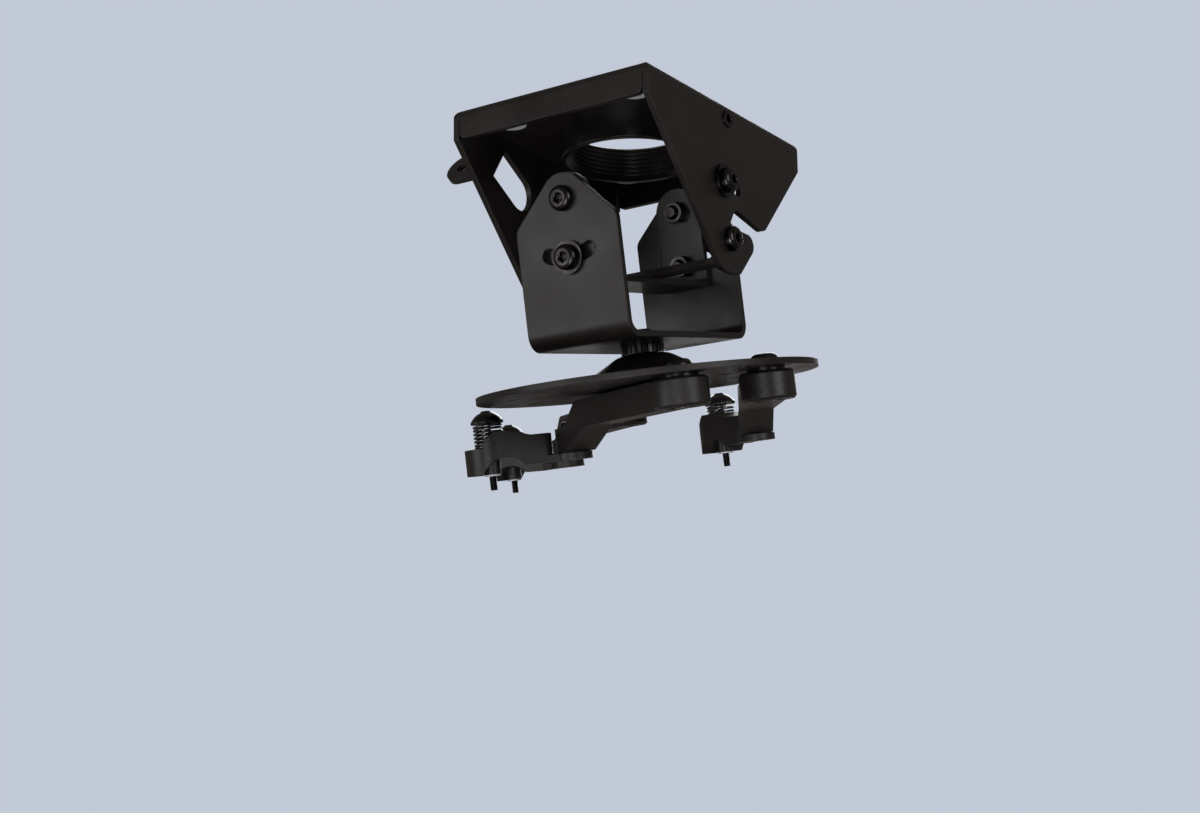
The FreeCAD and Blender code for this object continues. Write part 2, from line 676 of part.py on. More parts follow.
def spider_disc():
    body = new_body("spider_disc")
    blank = new_sketch(body, "disc_blank", "XY_Plane")
    circle(blank, "0", "0", "disc_radius")
    circle(blank, "0", "0", "stem_radius + turn_gap")
    pad(body, blank, "disc_height", backward=True)
    cuts = []
    for name, reach, radius in (("pivot_hole", "pivot_circle", "arm_bolt_radius + turn_gap"),
                                ("inner_hole", "inner_circle", "inner_hole_radius")):
        hole = new_sketch(body, name, "XY_Plane")
        circle(hole, reach, "0", radius)
        cuts.append(pocket(body, hole))
    ring = body.newObject("PartDesign::PolarPattern", "hole_rings")
    ring.Originals = cuts
    ring.Axis = (blank, ["N_Axis"])
    ring.Angle = 360
    ring.setExpression("Occurrences", bound("hole_count"))
    body.Tip = ring
    keep("spider_disc", body, disc_top())


# Arms: each turns on its bolt under the disc and carries a foot link

ARMS = {
    # name: bearing of the pivot on the disc, heading of the arm, heading of its link
    "front": (-45, 150, 217.4),
    "side": (0, 122.6, 144),
    "rear": (135, 139.5, 175.6),
}


def turned_about(x, y, z, heading):
    return FreeCAD.Placement(V(x, y, z), FreeCAD.Rotation(V(0, 0, 1), heading))


def arm_frame(name):
    bearing, heading, _ = ARMS[name]
    reach = cell("pivot_circle")
    drop = number("disc_height + spacer_height + slide_gap")
    angle = math.radians(bearing)
    return disc_top() * turned_about(reach * math.cos(angle), reach * math.sin(angle), -drop,
                                     heading)


def link_frame(name):
    _, heading, link_heading = ARMS[name]
    drop = number("arm_drop + end_height + slide_gap")
    return arm_frame(name) * turned_about(cell("arm_length"), 0, -drop, link_heading - heading)


def cast_arm(name):
    label = "arm_" + name
    body = new_body(label)
    boss = new_sketch(body, label + "_boss", "XY_Plane")
    circle(boss, "0", "0", "boss_radius")
    pad(body, boss, "boss_height", backward=True)
    soften(body, label + "_boss_edge", "boss_chamfer", lambda e: len(e.Vertexes) == 1, "Chamfer")
    bend = "(arm_length - step_length)"
    base = "-(arm_drop + end_height)"
    side = new_sketch(body, label + "_side", "XZ_Plane")
    polygon(side, [("0", "0"), (bend, "0"), ("arm_length - arm_width / 2", "-arm_drop"),
                   ("arm_length", "-arm_drop"), ("arm_length", base),
                   ("arm_length - arm_width / 2", base), (bend + " - boss_height / 2",
                                                          "-boss_height"),
                   ("0", "-boss_height")])
    pad(body, side, "arm_width", "Symmetric")
    soften(body, label + "_neck", "neck_corner", lambda e: is_along(e, V(0, 1, 0))
           and number(bend) - cell("boss_height") < e.CenterOfMass.x
           < cell("arm_length") - 0.1 and e.CenterOfMass.z > number(base) + 0.1)
    eye = new_sketch(body, label + "_eye", "XY_Plane", "-arm_drop")
    circle(eye, "arm_length", "0", "arm_width / 2")
    pad(body, eye, "end_height", backward=True)
    for kind, x, radius in (("bore", "0", "arm_bolt_radius + turn_gap"),
                            ("eye_bore", "arm_length", "link_bolt_radius + turn_gap")):
        hole = new_sketch(body, label + "_" + kind, "XY_Plane")
        circle(hole, x, "0", radius)
        pocket(body, hole)
    nest = new_sketch(body, label + "_nut_pocket", "XY_Plane", "nut_pocket_depth - boss_height")
    circle(nest, "0", "0", "nut_pocket_radius")
    pocket(body, nest)
    keep(label, body, arm_frame(name))


def arm_fasteners():
    bolts, nuts, spacers = [], [], []
    length = "disc_height + spacer_height + slide_gap + boss_height"
    for name in ARMS:
        bolt = new_body("arm_bolt_" + name)
        head = new_sketch(bolt, "arm_bolt_head_" + name, "XY_Plane")
        hexagon(head, "arm_head_span")
        pad(bolt, head, "arm_head_height")
        shank = new_sketch(bolt, "arm_bolt_shank_" + name, "XY_Plane")
        circle(shank, "0", "0", "arm_bolt_radius")
        pad(bolt, shank, length, backward=True)
        centre = arm_frame(name).Base
        upright = disc_top().Rotation
        rise = upright.multVec(V(0, 0, 1))
        bolt.Placement = FreeCAD.Placement(
            centre + rise * number("disc_height + spacer_height + slide_gap"), upright)
        bolts.append(bolt)
        nut = hex_nut("arm_nut_" + name, "arm_head_span", "arm_nut_height",
                      "arm_bolt_radius + turn_gap / 3")
        nut.Placement = FreeCAD.Placement(
            centre - rise * number("boss_height - nut_pocket_depth + slide_gap"
                                   " + arm_nut_height"), upright)
        nuts.append(nut)
        spacer = washer("arm_spacer_" + name, "arm_bolt_radius + turn_gap", "spacer_radius",
                        "spacer_height")
        spacer.Placement = FreeCAD.Placement(centre + rise * cell("slide_gap"), upright)
        spacers.append(spacer)
    keep_group("arm_bolts", bolts)
    keep_group("arm_nuts", nuts)
    keep_group("arm_spacers", spacers)


# Foot links, in a frame at the link bolt with Z 0 at the top of the hinge plate

def hinge_plate(body, label):
    plate = new_sketch(body, label + "_plate", "XY_Plane")
    circle(plate, "0", "0", "link_plate_radius")
    pad(body, plate, "link_plate", backward=True)
    bridge = new_sketch(body, label + "_bridge", "XY_Plane")
    polygon(bridge, [("0", "-pillar_radius"), ("pillar_reach", "-pillar_radius"),
                     ("pillar_reach", "pillar_radius"), ("0", "pillar_radius")])
    pad(body, bridge, "link_plate", backward=True)


def foot_link(name):
    label = "foot_link_" + name
    body = new_body(label)
    outline = new_sketch(body, label + "_outline", "XY_Plane", "-(link_plate + foot_drop)")
    drop_outline(outline, "pillar_reach", "link_length", "pillar_radius", "foot_radius")
    pad(body, outline, "foot_height + crown_rise")
    boss_top = "(foot_height - link_plate - foot_drop)"
    crown = new_sketch(body, label + "_crown", "XZ_Plane")
    start = "(pillar_reach - 2 * pillar_radius)"
    pillar_top = "(pillar_height - link_plate)"
    edge = "(link_length + nest_edge)"
    above = "(%s + 2 * crown_rise)" % boss_top
    polygon(crown, [(start, pillar_top), ("pillar_reach + pillar_radius", pillar_top),
                    ("link_length - crown_end", boss_top + " + crown_rise"),
                    ("link_length - crown_start", boss_top + " + crown_rise"),
                    (edge, boss_top + " + nest_step"), (edge, boss_top),
                    ("link_length + 2 * foot_radius", boss_top),
                    ("link_length + 2 * foot_radius", above), (start, above)])
    pocket(body, crown, side="Symmetric")
    arch = new_sketch(body, label + "_arch", "XZ_Plane")
    floor = "-(link_plate + foot_drop)"
    circle(arch, "link_length - arch_offset", floor + " - arch_depth", "arch_radius")
    pocket(body, arch, side="Symmetric")
    under = new_sketch(body, label + "_underside", "XZ_Plane")
    polygon(under, [(start, "-link_plate"), ("link_length - arch_offset", "-link_plate"),
                    ("link_length - arch_offset", "2 * " + floor), (start, "2 * " + floor)])
    pocket(body, under, side="Symmetric")
    column = new_sketch(body, label + "_column", "XY_Plane", floor)
    circle(column, "link_length", "0", "column_radius")
    pad(body, column, "foot_height")
    nest = new_sketch(body, label + "_nest", "XY_Plane", boss_top)
    circle(nest, "link_length", "0", "nest_radius")
    pocket(body, nest, "2 * crown_rise", backward=True)
    hinge_plate(body, label)
    for kind, x, radius in (("bolt_hole", "0", "link_bolt_radius + turn_gap / 3"),
                            ("foot_bore", "link_length", "foot_bore")):
        hole = new_sketch(body, label + "_" + kind, "XY_Plane")
        circle(hole, x, "0", radius)
        pocket(body, hole, side="Symmetric")
    keep(label, body, link_frame(name))


def link_bolt(name):
    length = "end_height + 2 * slide_gap + link_plate"
    bolt = cap_screw("link_bolt_" + name, "link_bolt_radius", length,
                     "link_head_radius", "link_bolt_radius")
    rise = number("end_height + 2 * slide_gap")
    keep("link_bolt_" + name, bolt, link_frame(name) * turned_about(0, 0, rise, 0))


def foot_top(name):
    # frame at the top face of the foot's boss, on the foot screw's axis
    rise = number("foot_height - link_plate - foot_drop")
    return link_frame(name) * turned_about(cell("link_length"), 0, rise, 0)


def foot_screw(name):
    label = "foot_screw_" + name
    top = "foot_head_height"
    thread = "-(spring_height + foot_height + clip_height + 2 * slide_gap + clip_gap)"
    end = "-(spring_height + foot_height + foot_thread)"
    body = turned(label, [("0", top), ("foot_nub_radius", top),
                          ("foot_dome_radius", "foot_dome_rise"),
                          ("foot_head_radius", "foot_rim_height"), ("foot_head_radius", "0"),
                          ("foot_shank_radius", "0"), ("foot_shank_radius", thread),
                          ("foot_screw_radius", thread), ("foot_screw_radius", end), ("0", end)])
    keep(label, body, foot_top(name) * turned_about(0, 0, cell("spring_height"), 0))
    clip = washer("foot_clip_" + name, "foot_shank_radius + turn_gap / 3",
                  "foot_screw_radius + clip_rim", "clip_height")
    drop = number("foot_height + clip_height + clip_gap")
    keep("foot_clip_" + name, clip, foot_top(name) * turned_about(0, 0, -drop, 0))


def foot_spring(name):
    label = "foot_spring_" + name
    coil = doc.addObject("Part::Helix", label + "_coil")
    coil.setExpression("Radius", bound("spring_radius"))
    coil.setExpression("Height", bound("spring_height - 3 * spring_wire"))
    coil.setExpression("Pitch", bound("(spring_height - 3 * spring_wire) / spring_turns"))
    wire = doc.addObject("Part::Circle", label + "_wire")
    wire.setExpression("Radius", bound("spring_wire"))
    wire.Placement = FreeCAD.Placement(V(cell("spring_radius"), 0, 0),
                                       FreeCAD.Rotation(V(1, 0, 0), 90))
    spring = doc.addObject("Part::Sweep", label)
    spring.Sections = [wire]
    spring.Spine = (coil, [])
    spring.Solid = True
    spring.Frenet = True
    doc.recompute()
    keep(label, spring, foot_top(name) * turned_about(0, 0, number("1.5 * spring_wire"), 0))


def build():
    fill_sheet()
    ceiling_bracket()
    pipe_collar()
    clinch_nuts()
    lock_screw()
    pitch_strap()
    roll_strap()
    pitch_face = "bracket_width / 2"
    roll_face = "yoke_depth / 2"
    tilt_fasteners("pitch_pivot", (1, 0, 0), pitch_face, "0", False)
    tilt_fasteners("pitch_lock", (1, 0, 0), pitch_face, "arc_radius", True)
    tilt_fasteners("roll_pivot", (0, 1, 0), roll_face, "roll_rise", False)
    tilt_fasteners("roll_lock", (0, 1, 0), roll_face, "roll_rise - arc_radius", True)
    yoke()
    swivel_bolt()
    serrated_ring()
    swivel_hub()
    spider_disc()
    arm_fasteners()
    for name in ARMS:
        cast_arm(name)
        foot_link(name)
        link_bolt(name)
        foot_screw(name)
        foot_spring(name)
    doc.recompute()


def write_parts():
    for item in doc.Objects:
        if "Invalid" in item.State or "Error" in item.State:
            raise RuntimeError("%s: %s" % (item.Label, item.State))
    for label, item in parts.items():
        if item.Shape.isNull() or not item.Shape.isValid():
            raise RuntimeError(label + " has no valid shape")
    for label, item in parts.items():
        item.Shape.exportStep("parts/%s.step" % label)
        print("%-20s %d solids %10.1f mm3" % (label, len(item.Shape.Solids), item.Shape.Volume))


build()
write_parts()
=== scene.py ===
import json
import math

import bmesh
import bpy
from mathutils import Euler, Matrix, Vector


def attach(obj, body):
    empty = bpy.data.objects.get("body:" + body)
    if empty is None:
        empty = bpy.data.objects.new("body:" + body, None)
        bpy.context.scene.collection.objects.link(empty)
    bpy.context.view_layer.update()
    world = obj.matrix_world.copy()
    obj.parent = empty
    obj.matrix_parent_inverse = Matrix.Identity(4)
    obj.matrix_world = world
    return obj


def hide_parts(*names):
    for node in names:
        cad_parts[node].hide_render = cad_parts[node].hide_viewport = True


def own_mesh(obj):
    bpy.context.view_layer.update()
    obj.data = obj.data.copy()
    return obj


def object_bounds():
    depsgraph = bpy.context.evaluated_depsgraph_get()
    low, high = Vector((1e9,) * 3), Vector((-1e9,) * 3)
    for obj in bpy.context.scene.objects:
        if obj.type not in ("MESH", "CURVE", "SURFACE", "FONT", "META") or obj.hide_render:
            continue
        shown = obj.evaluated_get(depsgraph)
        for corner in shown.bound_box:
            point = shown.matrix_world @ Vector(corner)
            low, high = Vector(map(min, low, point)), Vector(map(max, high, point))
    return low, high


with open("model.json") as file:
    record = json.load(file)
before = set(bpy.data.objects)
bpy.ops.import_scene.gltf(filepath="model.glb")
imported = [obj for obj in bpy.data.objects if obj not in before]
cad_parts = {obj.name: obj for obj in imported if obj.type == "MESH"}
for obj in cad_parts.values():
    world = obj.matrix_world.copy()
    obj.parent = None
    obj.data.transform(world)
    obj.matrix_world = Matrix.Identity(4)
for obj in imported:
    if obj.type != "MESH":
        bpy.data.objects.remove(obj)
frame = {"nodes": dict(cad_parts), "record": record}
cad_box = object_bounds()
nodes = frame["nodes"]

MM = 0.001


# Materials, with their lengths in metres

CLOUD_SIZE = 0.03
PATCH_SIZE = 0.006
STAIN_SIZE = 0.008
COAT_WEAR = 0.55
# how far the softened normal agrees with the face: on an edge, and on a flat face
ON_EDGE = 0.75
ON_FACE = 0.99

COATS = {
    "powder_coat": {"dark": (0.0080, 0.0060, 0.0054), "light": (0.0130, 0.0102, 0.0092),
                    "worn": (0.045, 0.037, 0.033), "rough": 0.40, "grain": 0.0008,
                    "grain_depth": 0.00006, "edge": 0.0007},
    "cast_black": {"dark": (0.0095, 0.0080, 0.0075), "light": (0.0150, 0.0130, 0.0122),
                   "worn": (0.055, 0.048, 0.044), "rough": 0.38, "grain": 0.0016,
                   "grain_depth": 0.00012, "edge": 0.0006},
    "thread_black": {"dark": (0.0060, 0.0050, 0.0048), "light": (0.0100, 0.0085, 0.0080),
                     "worn": (0.06, 0.055, 0.05), "rough": 0.30, "grain": 0.0007,
                     "grain_depth": 0.00003, "edge": 0.0003},
}

METALS = {
    "black_fastener": {"dark": (0.028, 0.025, 0.025), "light": (0.06, 0.056, 0.056),
                       "rough": 0.22, "grain": 0.0004, "edge": 0.0003, "metallic": 1.0},
    # zinc: pale and barely metallic, partly the plating's own pale grey and partly a painted
    # reflection of bright surroundings, lit by the lamps
    "zinc": {"dark": (0.62, 0.66, 0.72), "light": (0.80, 0.84, 0.90),
             "rough": 0.45, "grain": 0.0006, "edge": 0.0003, "metallic": 0.2},
    "spring_steel": {"dark": (0.10, 0.10, 0.105), "light": (0.20, 0.20, 0.21),
                     "rough": 0.22, "grain": 0.0004, "edge": 0.0001, "metallic": 1.0},
}


def new_material(name):
    material = bpy.data.materials.new(name)
    material.use_nodes = True
    return material, material.node_tree, material.node_tree.nodes["Principled BSDF"]


def noise(tree, size, detail=2.0, roughness=0.5):
    # noise whose blobs are about size metres across, fixed to the object
    place = tree.nodes.new("ShaderNodeTexCoord")
    texture = tree.nodes.new("ShaderNodeTexNoise")
    texture.inputs["Scale"].default_value = 1 / size
    texture.inputs["Detail"].default_value = detail
    texture.inputs["Roughness"].default_value = roughness
    tree.links.new(place.outputs["Object"], texture.inputs["Vector"])
    return texture.outputs["Fac"]


def ramp(tree, value, low, high, from_low=0.35, from_high=0.65):
    # the defaults spread the middle of a noise, where most of it lies
    node = tree.nodes.new("ShaderNodeMapRange")
    node.inputs["From Min"].default_value = from_low
    node.inputs["From Max"].default_value = from_high
    node.inputs["To Min"].default_value = low
    node.inputs["To Max"].default_value = high
    tree.links.new(value, node.inputs["Value"])
    return node.outputs["Result"]


def blend_colors(tree, value, first, second):
    node = tree.nodes.new("ShaderNodeMix")
    node.data_type = "RGBA"
    node.inputs["A"].default_value = (*first, 1)
    node.inputs["B"].default_value = (*second, 1)
    tree.links.new(value, node.inputs["Factor"])
    return node.outputs["Result"]


def soft_edges(tree, radius, wear):
    # a normal rounded along sharp edges, and the wear there, which is 0 on flat faces
    bevel = tree.nodes.new("ShaderNodeBevel")
    bevel.samples = 4
    bevel.inputs["Radius"].default_value = radius
    face = tree.nodes.new("ShaderNodeNewGeometry")
    dot = tree.nodes.new("ShaderNodeVectorMath")
    dot.operation = "DOT_PRODUCT"
    tree.links.new(bevel.outputs["Normal"], dot.inputs[0])
    tree.links.new(face.outputs["Normal"], dot.inputs[1])
    turned = ramp(tree, dot.outputs["Value"], wear, 0.0, ON_EDGE, ON_FACE)
    return bevel.outputs["Normal"], turned


def bump(tree, height, depth, normal):
    node = tree.nodes.new("ShaderNodeBump")
    node.inputs["Distance"].default_value = depth
    tree.links.new(height, node.inputs["Height"])
    tree.links.new(normal, node.inputs["Normal"])
    return node.outputs["Normal"]


def coated_metal(name, dark, light, worn, rough, grain, grain_depth, edge):
    # a black coat over metal: mottled a little, with a fine grain and lighter edges
    material, tree, shader = new_material(name)
    cloud = noise(tree, CLOUD_SIZE, detail=4.0)
    coat = blend_colors(tree, ramp(tree, cloud, 0.0, 1.0), dark, light)
    rounded, wear = soft_edges(tree, edge, COAT_WEAR)
    patchy = tree.nodes.new("ShaderNodeMath")
    patchy.operation = "MULTIPLY"
    tree.links.new(wear, patchy.inputs[0])
    patches = noise(tree, PATCH_SIZE, detail=3.0)
    tree.links.new(ramp(tree, patches, 0.2, 1.0), patchy.inputs[1])
    mixed = tree.nodes.new("ShaderNodeMix")
    mixed.data_type = "RGBA"
    mixed.inputs["B"].default_value = (*worn, 1)
    tree.links.new(patchy.outputs["Value"], mixed.inputs["Factor"])
    tree.links.new(coat, mixed.inputs["A"])
    tree.links.new(mixed.outputs["Result"], shader.inputs["Base Color"])
    tree.links.new(ramp(tree, cloud, rough - 0.05, rough + 0.07), shader.inputs["Roughness"])
    texture = noise(tree, grain, detail=3.0, roughness=0.6)
    tree.links.new(bump(tree, texture, grain_depth, rounded), shader.inputs["Normal"])
    return material


def bare_metal(name, dark, light, rough, grain, edge, metallic):
    # plated metal: bright, faintly stained, with fine tool marks
    material, tree, shader = new_material(name)
    shader.inputs["Metallic"].default_value = metallic
    stain = noise(tree, STAIN_SIZE, detail=5.0, roughness=0.6)
    plating = blend_colors(tree, ramp(tree, stain, 0.0, 1.0), dark, light)
    tree.links.new(plating, shader.inputs["Base Color"])
    tree.links.new(ramp(tree, stain, rough + 0.1, rough - 0.05), shader.inputs["Roughness"])
    rounded, _ = soft_edges(tree, edge, 0.0)
    marks = noise(tree, grain)
    tree.links.new(bump(tree, marks, grain * 0.05, rounded), shader.inputs["Normal"])
    return material


MATERIALS = {name: coated_metal(name, **look) for name, look in COATS.items()}
MATERIALS.update({name: bare_metal(name, **look) for name, look in METALS.items()})

for subpart in frame["record"]["subparts"]:
    mesh = nodes[subpart["node"]].data
    mesh.materials.clear()
    mesh.materials.append(MATERIALS[subpart["material_slot"]])


# Turned and threaded pieces, in millimetres round Z; a radius may be a rule of the angle

HEX = math.pi / 3
STEPS = 48
FINE_STEPS = 144
ROWS_PER_TURN = 8
ARC_ROWS = 6
SHARP_ANGLE = math.radians(35)
# the radius at which a turned piece closes on its axis
CENTRE = 0.2
# the depth of a thread as a share of its pitch, and the short run-out above it
THREAD_DEPTH = 0.6
RUN_OUT = 0.1

SCREW_RADIUS = 3.0
HEAD_RADIUS = 6.0
HEAD_HEIGHT = 4.0
HEAD_CROWN = 0.6
SOCKET_SPAN = 4.0
SOCKET_DEPTH = 2.4
NUT_SPAN = 10.0
NUT_HEIGHT = 5.0


def add_turned(mesh, place, rows, closed=False, steps=STEPS):
    # rows of radius and height, with flat ends, or closed into a ring round its bore
    rings = []
    for radius, height in rows:
        ring = []
        for i in range(steps):
            angle = math.tau * i / steps
            reach = radius(angle) if callable(radius) else radius
            spot = Vector((reach * math.cos(angle), reach * math.sin(angle), height)) * MM
            ring.append(mesh.verts.new(place @ spot))
        rings.append(ring)
    pairs = list(zip(rings, rings[1:]))
    if closed:
        pairs.append((rings[-1], rings[0]))
    else:
        mesh.faces.new(rings[0][::-1])
        mesh.faces.new(rings[-1])
    for low, high in pairs:
        for i in range(steps):
            j = (i + 1) % steps
            mesh.faces.new((low[i], low[j], high[j], high[i]))


def finish_piece(mesh, name, body, material, node):
    data = bpy.data.meshes.new(name)
    mesh.to_mesh(data)
    mesh.free()
    data.materials.append(MATERIALS[material])
    data.set_sharp_from_angle(angle=SHARP_ANGLE)
    for face in data.polygons:
        face.use_smooth = True
    piece = bpy.data.objects.new(name, data)
    bpy.context.scene.collection.objects.link(piece)
    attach(piece, body)
    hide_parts(node)
    return piece


def hexagon(span, most=math.inf):
    # the reach of a hexagon at an angle, its corners turned off at most
    return lambda angle: min(most, span / 2 / math.cos(angle % HEX - HEX / 2))


def thread_rows(low, high, radius, depth, pitch):
    # a right-hand thread between two heights; a negative depth cuts it into a bore
    rows = []
    count = max(2, round(abs(high - low) / pitch * ROWS_PER_TURN))
    for i in range(count + 1):
        height = low + (high - low) * i / count

        def reach(angle, height=height):
            phase = (height / pitch - angle / math.tau) % 1
            return radius - depth * abs(2 * phase - 1)
        rows.append((reach, height))
    return rows


def corner_rows(centre_radius, centre_height, radius):
    # a rounded upper corner, from its upright side to its level top
    rows = []
    for i in range(ARC_ROWS + 1):
        angle = math.radians(90 * i / ARC_ROWS)
        rows.append((centre_radius + radius * math.cos(angle),
                     centre_height + radius * math.sin(angle)))
    return rows


def socket_rows(span, top, depth):
    # a hexagon socket with a turned mouth and a drilled point
    mouth = 0.5
    chamfer = 0.3
    point = 0.4
    return [(span / 2 + mouth, top), (hexagon(span), top - chamfer), (hexagon(span), top - depth),
            (CENTRE, top - depth - point)]


def shank_rows(length, radius, plain, neck, pitch=1.0):
    # from the tip up to the head: a chamfered tip, the thread, then a plain neck
    depth = THREAD_DEPTH * pitch
    return ([(radius - depth, -length)]
            + thread_rows(-length + depth, -plain, radius, depth, pitch)
            + [(neck, -plain + RUN_OUT), (neck, 0.0)])


def screw_rows(length, radius, head, height, plain, socket=SOCKET_SPAN, depth=SOCKET_DEPTH,
               crown=HEAD_CROWN):
    # a socket screw: crown is the share of its head's height that is rounded
    edge = height * crown
    chamfer = 0.3
    return (shank_rows(length, radius, plain, radius)
            + [(head - chamfer, 0.0), (head, chamfer)]
            + corner_rows(head - edge, height - edge, edge)
            + socket_rows(socket, height, depth))


def nut_rows(span, height, bore, pitch=1.0):
    edge = 0.6
    most = span / 2 * 1.04
    mouth = bore + 0.6
    lead = 0.5
    depth = 0.4
    return ([(hexagon(span, most), 0.0), (hexagon(span), edge), (hexagon(span), height - edge),
             (hexagon(span, most), height), (mouth, height)]
            + thread_rows(height - lead, lead, bore, -depth, pitch) + [(mouth, 0.0)])


# Frames of the bodies at rest

SHEET = 3.0
GAP = 0.2
WASHER = 1.6
PITCH_DROP = 66.7
PITCH_AT_REST = 10.5
ROLL_RISE = 25.6
LOCK_ARC = 27.5
BRACKET_HALF = 55.0
YOKE_HALF = 54.0
YOKE_DROP = 68.0
RING_HEIGHT = 4.0
HUB_HEIGHT = 12.6
DISC_SHEET = 3.0
SPACER = 1.4
PIVOT_CIRCLE = 65.0
BOSS = 13.5
ARM_LENGTH = 117.0
ARM_END = 24.3
END_HEIGHT = 12.3
LINK_PLATE = 3.5
LINK_LENGTH = 41.5
FOOT_HEIGHT = 13.0
FOOT_DROP = 2.8
SPRING_HEIGHT = 12.3
SPRING_PLAY = 0.1
# each arm's bearing on the disc, its own heading and its link's heading, in degrees
ARMS = {"front": (-45, 150, 217.4), "side": (0, 122.6, 144), "rear": (135, 139.5, 175.6)}


def shift(x, y, z):
    return Matrix.Translation(Vector((x, y, z)) * MM)


def heading(degrees):
    return Matrix.Rotation(math.radians(degrees), 4, "Z")


def looking(direction):
    return Vector(direction).to_track_quat("Z", "Y").to_matrix().to_4x4()


CRADLE = shift(0, 0, -PITCH_DROP) @ Matrix.Rotation(math.radians(PITCH_AT_REST), 4, "X")
DISC = CRADLE @ shift(0, 0, ROLL_RISE - YOKE_DROP - RING_HEIGHT - GAP - HUB_HEIGHT)


def arm_place(name):
    bearing, turn, _ = ARMS[name]
    return (DISC @ heading(bearing) @ shift(PIVOT_CIRCLE, 0, -(DISC_SHEET + SPACER + GAP))
            @ heading(turn - bearing))


def link_place(name):
    _, turn, link_turn = ARMS[name]
    return arm_place(name) @ shift(ARM_LENGTH, 0, -(ARM_END + GAP)) @ heading(link_turn - turn)


def foot_place(name):
    return link_place(name) @ shift(LINK_LENGTH, 0, FOOT_HEIGHT - LINK_PLATE - FOOT_DROP)


# The detailed pieces

def tilt_screws(name, axis, half_span, height, locked):
    # a screw and its nut on either side of the cradle, over a washer where it locks
    past_nut = 2.0
    into_grip = 1.0
    seat = GAP + (WASHER if locked else 0.0)
    grip = seat + 2 * SHEET + GAP
    screws = bmesh.new()
    nuts = bmesh.new()
    for side in (-1, 1):
        way = Vector(axis) * side
        level = CRADLE @ shift(0, 0, height)
        head = level @ shift(*(way * (half_span + seat))) @ looking(way)
        add_turned(screws, head, screw_rows(grip + NUT_HEIGHT + past_nut, SCREW_RADIUS,
                                            HEAD_RADIUS, HEAD_HEIGHT, grip - into_grip))
        inside = level @ shift(*(way * (half_span - 2 * SHEET - GAP - NUT_HEIGHT))) @ looking(way)
        add_turned(nuts, inside, nut_rows(NUT_SPAN, NUT_HEIGHT, SCREW_RADIUS), closed=True)
    finish_piece(screws, name + "_screws_detail", "cradle", "black_fastener", name + "_screws")
    finish_piece(nuts, name + "_nuts_detail", "cradle", "black_fastener", name + "_nuts")


def arm_bolts():
    # low round heads on top of the disc
    radius = 4.0
    head_radius, head_height = 6.8, 3.8
    bolts = bmesh.new()
    length = DISC_SHEET + SPACER + GAP + BOSS
    for bearing, _, _ in ARMS.values():
        place = DISC @ heading(bearing) @ shift(PIVOT_CIRCLE, 0, 0)
        add_turned(bolts, place, screw_rows(length, radius, head_radius, head_height,
                                            DISC_SHEET + SPACER, socket=5.0, depth=2.6, crown=0.9))
    finish_piece(bolts, "arm_bolts_detail", "disc", "black_fastener", "arm_bolts")


def foot_screw_rows():
    # a slim shank with a threaded free end, under a domed head with a milled rim
    clip_room = 1.3
    grip = SPRING_HEIGHT + FOOT_HEIGHT + clip_room
    free_thread = 6.7
    radius, neck, pitch = 2.0, 1.7, 0.7
    rim, top = 8.2, 6.6
    notch, notches = 0.12, 36
    nub = 2.2

    def milled(angle):
        return rim - notch + notch * math.cos(notches * angle)

    dome = [(rim - inset, height) for inset, height in
            ((0.3, 1.7), (1.0, 2.8), (2.1, 4.0), (3.6, 5.1), (5.2, 5.8))]
    return (shank_rows(grip + free_thread, radius, grip, neck, pitch)
            + [(rim - 0.5, 0.0), (milled, 0.3), (milled, 1.5)]
            + dome
            + [(nub + 0.4, top - 0.4), (nub, top), (0.9, top), (CENTRE, top - 0.2)])


def foot_screw(name):
    screw = bmesh.new()
    place = foot_place(name) @ shift(0, 0, SPRING_HEIGHT)
    add_turned(screw, place, foot_screw_rows(), steps=FINE_STEPS)
    node = "foot_screw_" + name
    finish_piece(screw, node + "_detail", "screw_" + name, "black_fastener", node)


def coil_height(turn, turns, wire):
    # the first and last turns lie closed, and those between share what is left
    closed = 2.1 * wire
    free = (SPRING_HEIGHT - 2 * wire - 2 * closed - SPRING_PLAY) / (turns - 2)
    rise = min(turn, 1) * closed + max(0.0, min(turn, turns - 1) - 1) * free
    return wire + SPRING_PLAY / 2 + rise + max(0.0, turn - (turns - 1)) * closed


def foot_spring(name):
    # the wound spring, pressed flat by its screw
    turns, per_turn, around = 6.5, 32, 12
    wire, radius = 0.62, 6.9
    place = foot_place(name)
    mesh = bmesh.new()
    rings = []
    for i in range(round(turns * per_turn) + 1):
        turn = i / per_turn
        out = Vector((math.cos(math.tau * turn), math.sin(math.tau * turn), 0))
        centre = out * radius + Vector((0, 0, coil_height(turn, turns, wire)))
        ring = []
        for k in range(around):
            angle = math.tau * k / around
            spot = centre + (out * math.cos(angle) + Vector((0, 0, math.sin(angle)))) * wire
            ring.append(mesh.verts.new(place @ (spot * MM)))
        rings.append(ring)
    for one, two in zip(rings, rings[1:]):
        for k in range(around):
            j = (k + 1) % around
            mesh.faces.new((one[k], two[k], two[j], one[j]))
    mesh.faces.new(rings[0])
    mesh.faces.new(rings[-1][::-1])
    node = "foot_spring_" + name
    piece = finish_piece(mesh, node + "_detail", "link_" + name, "spring_steel", node)
    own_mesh(piece)


def link_bolt(name):
    # from its head on top of the arm's end down into the link's plate
    radius, head_radius, head_height = 3.0, 5.4, 3.0
    bolt = bmesh.new()
    rise = END_HEIGHT + 2 * GAP
    add_turned(bolt, link_place(name) @ shift(0, 0, rise),
               screw_rows(rise + LINK_PLATE, radius, head_radius, head_height, END_HEIGHT, depth=1.8))
    node = "link_bolt_" + name
    finish_piece(bolt, node + "_detail", "link_" + name, "black_fastener", node)


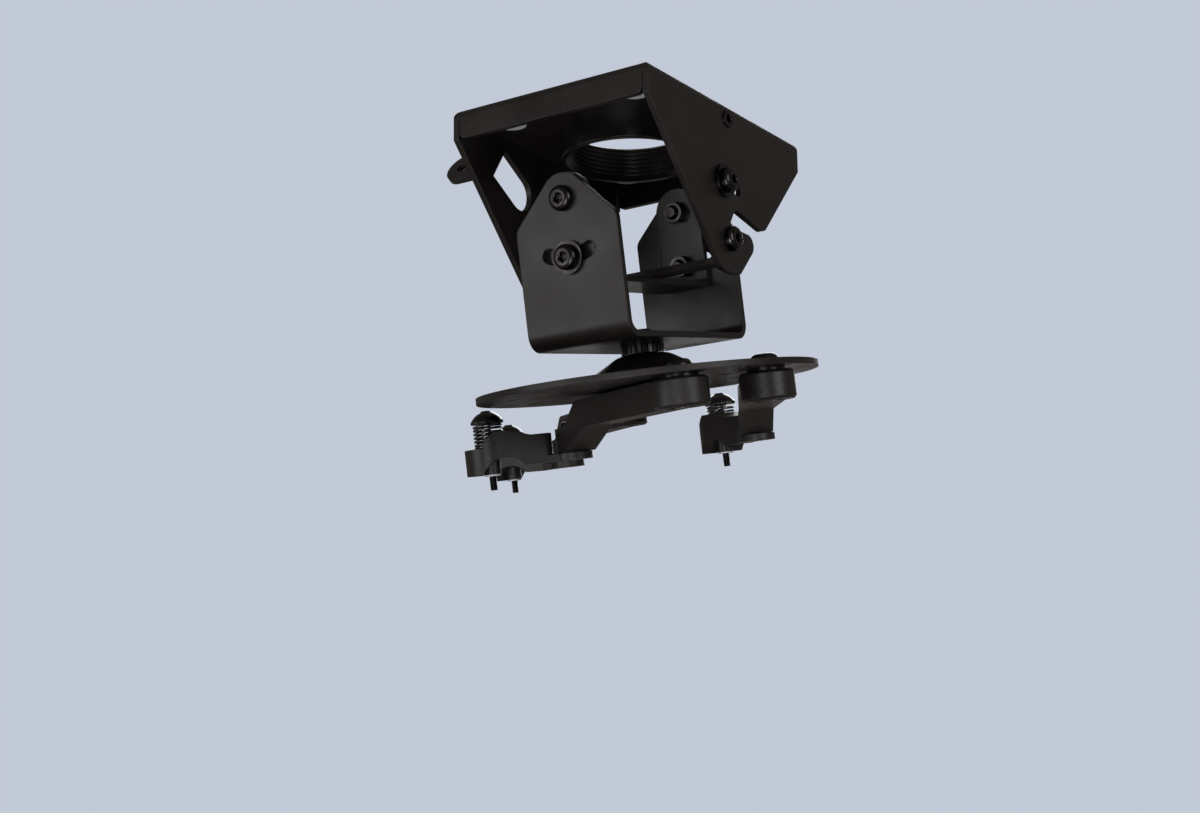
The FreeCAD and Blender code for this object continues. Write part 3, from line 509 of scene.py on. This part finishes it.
def threaded_collar():
    # the pipe collar with its thread, about 11.5 turns to the inch
    bore, wall, drop = 30.1, 4.0, 17.0
    pitch, depth = 2.2, 1.3
    mouth, lead, corner = 0.8, 1.6, 0.6
    collar = bmesh.new()
    outer = bore + wall
    rows = ([(outer, -drop + corner), (outer, 0.0), (bore + mouth, 0.0)]
            + thread_rows(-mouth, -drop + lead, bore, depth, pitch)
            + [(bore + depth, -drop), (outer - corner, -drop)])
    add_turned(collar, Matrix.Identity(4), rows, closed=True, steps=FINE_STEPS)
    finish_piece(collar, "pipe_collar_detail", "ceiling_bracket", "thread_black", "pipe_collar")


def detail_pieces():
    tilt_screws("pitch_pivot", (1, 0, 0), BRACKET_HALF, 0.0, False)
    tilt_screws("pitch_lock", (1, 0, 0), BRACKET_HALF, LOCK_ARC, True)
    tilt_screws("roll_pivot", (0, 1, 0), YOKE_HALF, ROLL_RISE, False)
    tilt_screws("roll_lock", (0, 1, 0), YOKE_HALF, ROLL_RISE - LOCK_ARC, True)
    arm_bolts()
    threaded_collar()
    for name in ARMS:
        foot_screw(name)
        foot_spring(name)
        link_bolt(name)


detail_pieces()


# Studio and camera, in metres

BACKDROP = (0.545, 0.590, 0.680)
FILL = (0.150, 0.138, 0.130)
# each light's place, its width and its power in watts
LIGHTS = {
    "key": ((-0.62, -1.0, -0.16), 0.7, 2.2),
    "low_front": ((0.35, -1.0, -0.75), 0.7, 6),
    "side": ((1.2, -0.3, 0.1), 0.8, 4),
    "back": ((-0.5, 1.1, 0.4), 0.8, 6),
}
CAMERA_PLACE = (0.48227, -0.73903, -0.32473)
CAMERA_TURN = (101.872, 0.683, 34.334)


def is_seen(tree):
    # 1 for what the camera sees straight or through glass
    path = tree.nodes.new("ShaderNodeLightPath")
    add = tree.nodes.new("ShaderNodeMath")
    add.operation = "MAXIMUM"
    tree.links.new(path.outputs["Is Camera Ray"], add.inputs[0])
    tree.links.new(path.outputs["Is Transmission Ray"], add.inputs[1])
    return add.outputs["Value"]


def studio_world():
    # a pale backdrop for the camera, and a dim warm fill on the object
    world = bpy.data.worlds.new("studio")
    world.use_nodes = True
    bpy.context.scene.world = world
    tree = world.node_tree
    background = tree.nodes["Background"]
    background.inputs["Strength"].default_value = 1.0
    color = blend_colors(tree, is_seen(tree), FILL, BACKDROP)
    tree.links.new(color, background.inputs["Color"])


def soft_light(name, place, width, power, aim):
    lamp = bpy.data.lights.new(name, "AREA")
    lamp.shape = "DISK"
    lamp.size = width
    lamp.energy = power
    holder = bpy.data.objects.new(name, lamp)
    holder.location = place
    holder.rotation_mode = "QUATERNION"
    holder.rotation_quaternion = (Vector(aim) - Vector(place)).to_track_quat("-Z", "Y")
    bpy.context.scene.collection.objects.link(holder)


def photo_camera():
    lens = bpy.data.cameras.new("photo_camera")
    lens.sensor_width = 36.0
    lens.lens = 57.01
    lens.clip_start = 0.01
    camera = bpy.data.objects.new("photo_camera", lens)
    camera.location = CAMERA_PLACE
    camera.rotation_euler = Euler([math.radians(a) for a in CAMERA_TURN], "XYZ")
    bpy.context.scene.collection.objects.link(camera)
    bpy.context.scene.camera = camera


studio_world()
middle = (cad_box[0] + cad_box[1]) / 2
for name, (place, width, power) in LIGHTS.items():
    soft_light(name, place, width, power, middle)
photo_camera()

bpy.context.scene.view_settings.view_transform = "Standard"
